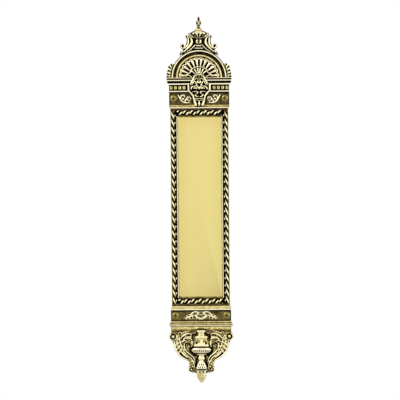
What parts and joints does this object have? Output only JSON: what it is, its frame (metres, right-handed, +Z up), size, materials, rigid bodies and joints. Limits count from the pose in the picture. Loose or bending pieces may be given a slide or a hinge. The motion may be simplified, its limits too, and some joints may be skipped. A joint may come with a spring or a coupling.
{
  "type": "door finger plate",
  "caption": "Tall cast brass door finger plate: plain push panel in a rope border, shell arch and lion mask above, scrolled urn pendant below, held by countersunk screws.",
  "frame": {"origin": "middle of the plain push panel and of the four screws, on the flat back face", "axes": "+Z up the plate, +X to the right as it is seen, +Y out of the back into the door"},
  "size_m": [0.0814, 0.0329, 0.4572],
  "materials": {
    "antique_brass": "cast, polished on its ridges and panel, dark patina in the recesses",
    "screw_brass": "turned, dulled"
  },
  "bodies": {
    "root": {"finger_plate": "antique_brass", "fixing_screws": "screw_brass"}
  },
  "joints": []
}
